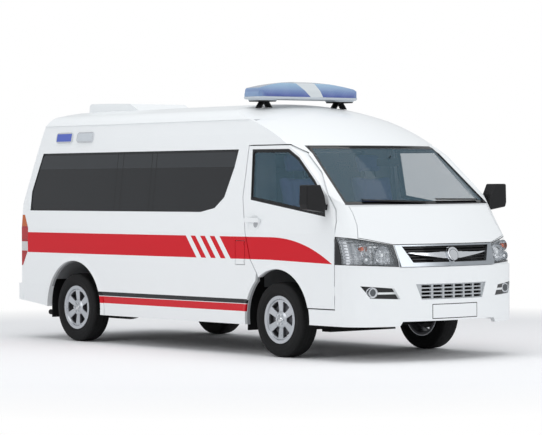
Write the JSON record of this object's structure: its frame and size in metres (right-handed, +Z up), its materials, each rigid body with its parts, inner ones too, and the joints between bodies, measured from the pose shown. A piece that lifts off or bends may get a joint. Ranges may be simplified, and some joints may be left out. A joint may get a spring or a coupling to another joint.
{
  "type": "ambulance",
  "caption": "High-roof van ambulance with a roof light bar, striped sides, lift-up tailgate, hinged front doors and steered, rolling wheels.",
  "frame": {"origin": "on the ground under the middle of the vehicle, at the bottom centre of its box", "axes": "front faces -Y, the vehicle's left is +X, up is +Z"},
  "size_m": [2.3278, 5.3835, 2.4349],
  "materials": {
    "body_paint": "gloss white paint with red and black stripes",
    "dark_glass": "dark tinted glass",
    "clear_glass": "light tinted glass",
    "tyre_rubber": "matt black tread rubber",
    "alloy": "bright painted cast alloy",
    "lamp_clear": "clear lens over bright reflector",
    "lamp_red": "red lens",
    "lamp_blue": "blue lens",
    "bright_trim": "bright plated trim",
    "seat_fabric": "woven blue grey cloth",
    "soft_rubber": "black rubber",
    "black_plastic": "grained black plastic",
    "silver_plastic": "silver painted plastic",
    "floor_paint": "grey painted sheet",
    "chassis_steel": "black underbody paint"
  },
  "bodies": {
    "body": {"bulkhead": "floor_paint", "cab_frame": "body_paint", "chassis_rails": "chassis_steel", "dashboard": "black_plastic", "engine_block": "chassis_steel", "exhaust": "chassis_steel", "floor_pan": "floor_paint", "fog_lamps": "lamp_clear", "front_bumper": "body_paint", "front_suspension": "chassis_steel", "fuel_tank": "chassis_steel", "grille_insert": "black_plastic", "grille_surround": "bright_trim", "headlamps": "lamp_clear", "leaf_springs": "chassis_steel", "light_bar_base": "black_plastic", "light_bar_lenses": "lamp_blue", "lower_grille": "silver_plastic", "mud_flaps": "soft_rubber", "prop_shaft": "chassis_steel", "rear_axle": "chassis_steel", "rear_bumper": "body_paint", "roof_shell": "body_paint", "seat_backs": "seat_fabric", "seat_bases": "black_plastic", "seat_cushions": "seat_fabric", "side_glass": "dark_glass", "side_lamps": "lamp_clear", "side_panel_left": "body_paint", "side_panel_right": "body_paint", "sliding_door": "body_paint", "spare_wheel": "tyre_rubber", "tail_lamps": "lamp_red", "wheelhouses": "floor_paint", "windscreen": "clear_glass", "wipers": "black_plastic"},
    "door_right": {"door_shell_right": "body_paint", "door_glass_right": "clear_glass", "door_mirror_right": "black_plastic"},
    "knuckle_right": {"knuckle_right": "chassis_steel"},
    "wheel_front_right": {"tyre_front_right": "tyre_rubber", "rim_front_right": "alloy"},
    "wheel_rear_right": {"tyre_rear_right": "tyre_rubber", "rim_rear_right": "alloy"},
    "door_left": {"door_shell_left": "body_paint", "door_glass_left": "clear_glass", "door_mirror_left": "black_plastic"},
    "knuckle_left": {"knuckle_left": "chassis_steel"},
    "wheel_front_left": {"tyre_front_left": "tyre_rubber", "rim_front_left": "alloy"},
    "wheel_rear_left": {"tyre_rear_left": "tyre_rubber", "rim_rear_left": "alloy"},
    "tailgate": {"tailgate_shell": "body_paint", "tailgate_glass": "dark_glass"},
    "bonnet": {"bonnet": "body_paint"},
    "fuel_lid": {"fuel_lid": "body_paint"}
  },
  "joints": [
    {"name": "door_right_hinge", "type": "hinge", "parent": "body", "child": "door_right", "pos_m": [-0.9385, -2.215, 0.8], "axis": [0, 0, 1], "range_deg": [0, 68]},
    {"name": "steering_right", "type": "hinge", "parent": "body", "child": "knuckle_right", "pos_m": [-0.7675, -1.44, 0.327], "axis": [0, 0, 1], "range_deg": [-33, 33]},
    {"name": "wheel_front_right_spin", "type": "hinge", "parent": "knuckle_right", "child": "wheel_front_right", "pos_m": [-0.8275, -1.44, 0.327], "axis": [1, 0, 0], "continuous": true},
    {"name": "wheel_rear_right_spin", "type": "hinge", "parent": "body", "child": "wheel_rear_right", "pos_m": [-0.825, 1.67, 0.327], "axis": [1, 0, 0], "continuous": true},
    {"name": "door_left_hinge", "type": "hinge", "parent": "body", "child": "door_left", "pos_m": [0.9385, -2.215, 0.8], "axis": [0, 0, -1], "range_deg": [0, 68]},
    {"name": "steering_left", "type": "hinge", "parent": "body", "child": "knuckle_left", "pos_m": [0.7675, -1.44, 0.327], "axis": [0, 0, 1], "range_deg": [-33, 33]},
    {"name": "wheel_front_left_spin", "type": "hinge", "parent": "knuckle_left", "child": "wheel_front_left", "pos_m": [0.8275, -1.44, 0.327], "axis": [1, 0, 0], "continuous": true},
    {"name": "wheel_rear_left_spin", "type": "hinge", "parent": "body", "child": "wheel_rear_left", "pos_m": [0.825, 1.67, 0.327], "axis": [1, 0, 0], "continuous": true},
    {"name": "tailgate_hinge", "type": "hinge", "parent": "body", "child": "tailgate", "pos_m": [0, 2.352, 2.059], "axis": [1, 0, 0], "range_deg": [0, 84]},
    {"name": "bonnet_hinge", "type": "hinge", "parent": "body", "child": "bonnet", "pos_m": [0, -2.249, 1.309], "axis": [-1, 0, 0], "range_deg": [0, 45]},
    {"name": "fuel_lid_hinge", "type": "hinge", "parent": "body", "child": "fuel_lid", "pos_m": [-0.9375, -0.9875, 0.905], "axis": [0, 0, 1], "range_deg": [0, 90]}
  ],
  "couplings": [
    {"joint": "steering_right", "follows": "steering_left", "ratio": 1}
  ]
}
